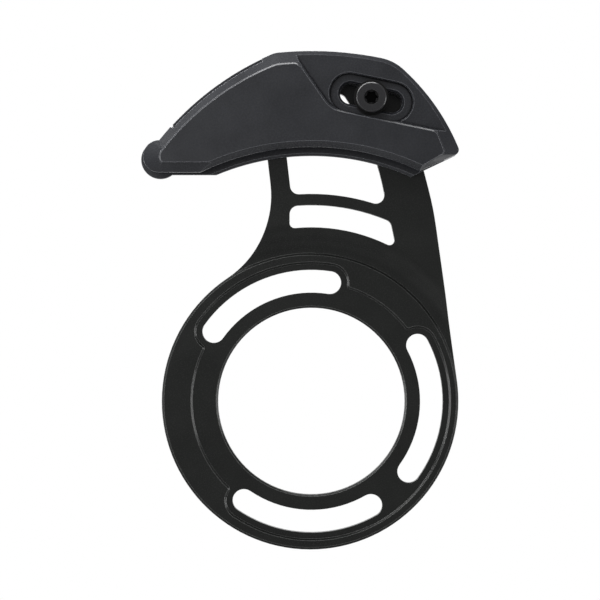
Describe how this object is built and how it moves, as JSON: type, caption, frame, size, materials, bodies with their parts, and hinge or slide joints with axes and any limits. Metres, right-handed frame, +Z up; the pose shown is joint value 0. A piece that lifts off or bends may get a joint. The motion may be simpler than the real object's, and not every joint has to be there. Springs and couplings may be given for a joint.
{
  "type": "bicycle chain guide",
  "caption": "Slotted ring with a stepped arm that carries a moulded two-part guide over the chainring, held by one clamp bolt in a slanted slot.",
  "frame": {"origin": "centre of the ring's bore, on the ring's flat mounting face", "axes": "+X to the front of the bicycle (right in the picture), +Y inboard along the bore, towards the frame, and +Z up, so the picture looks along +Y"},
  "size_m": [0.0961, 0.0224, 0.1502],
  "materials": {
    "black_anodised_aluminium": "satin",
    "moulded_nylon": "matte",
    "black_oxide_steel": "satin",
    "zinc_plated_steel": "satin"
  },
  "bodies": {
    "plate": {"back_plate": "black_anodised_aluminium", "clamp_nut": "zinc_plated_steel", "clamp_bolt": "black_oxide_steel", "clamp_washer": "black_oxide_steel"},
    "guide": {"outer_guide": "moulded_nylon", "inner_guide": "moulded_nylon"}
  },
  "joints": [
    {"name": "guide_slide", "type": "slide", "parent": "plate", "child": "guide", "axis": [0.9781, 0, -0.2079], "range_m": [-0.004, 0.004]}
  ]
}
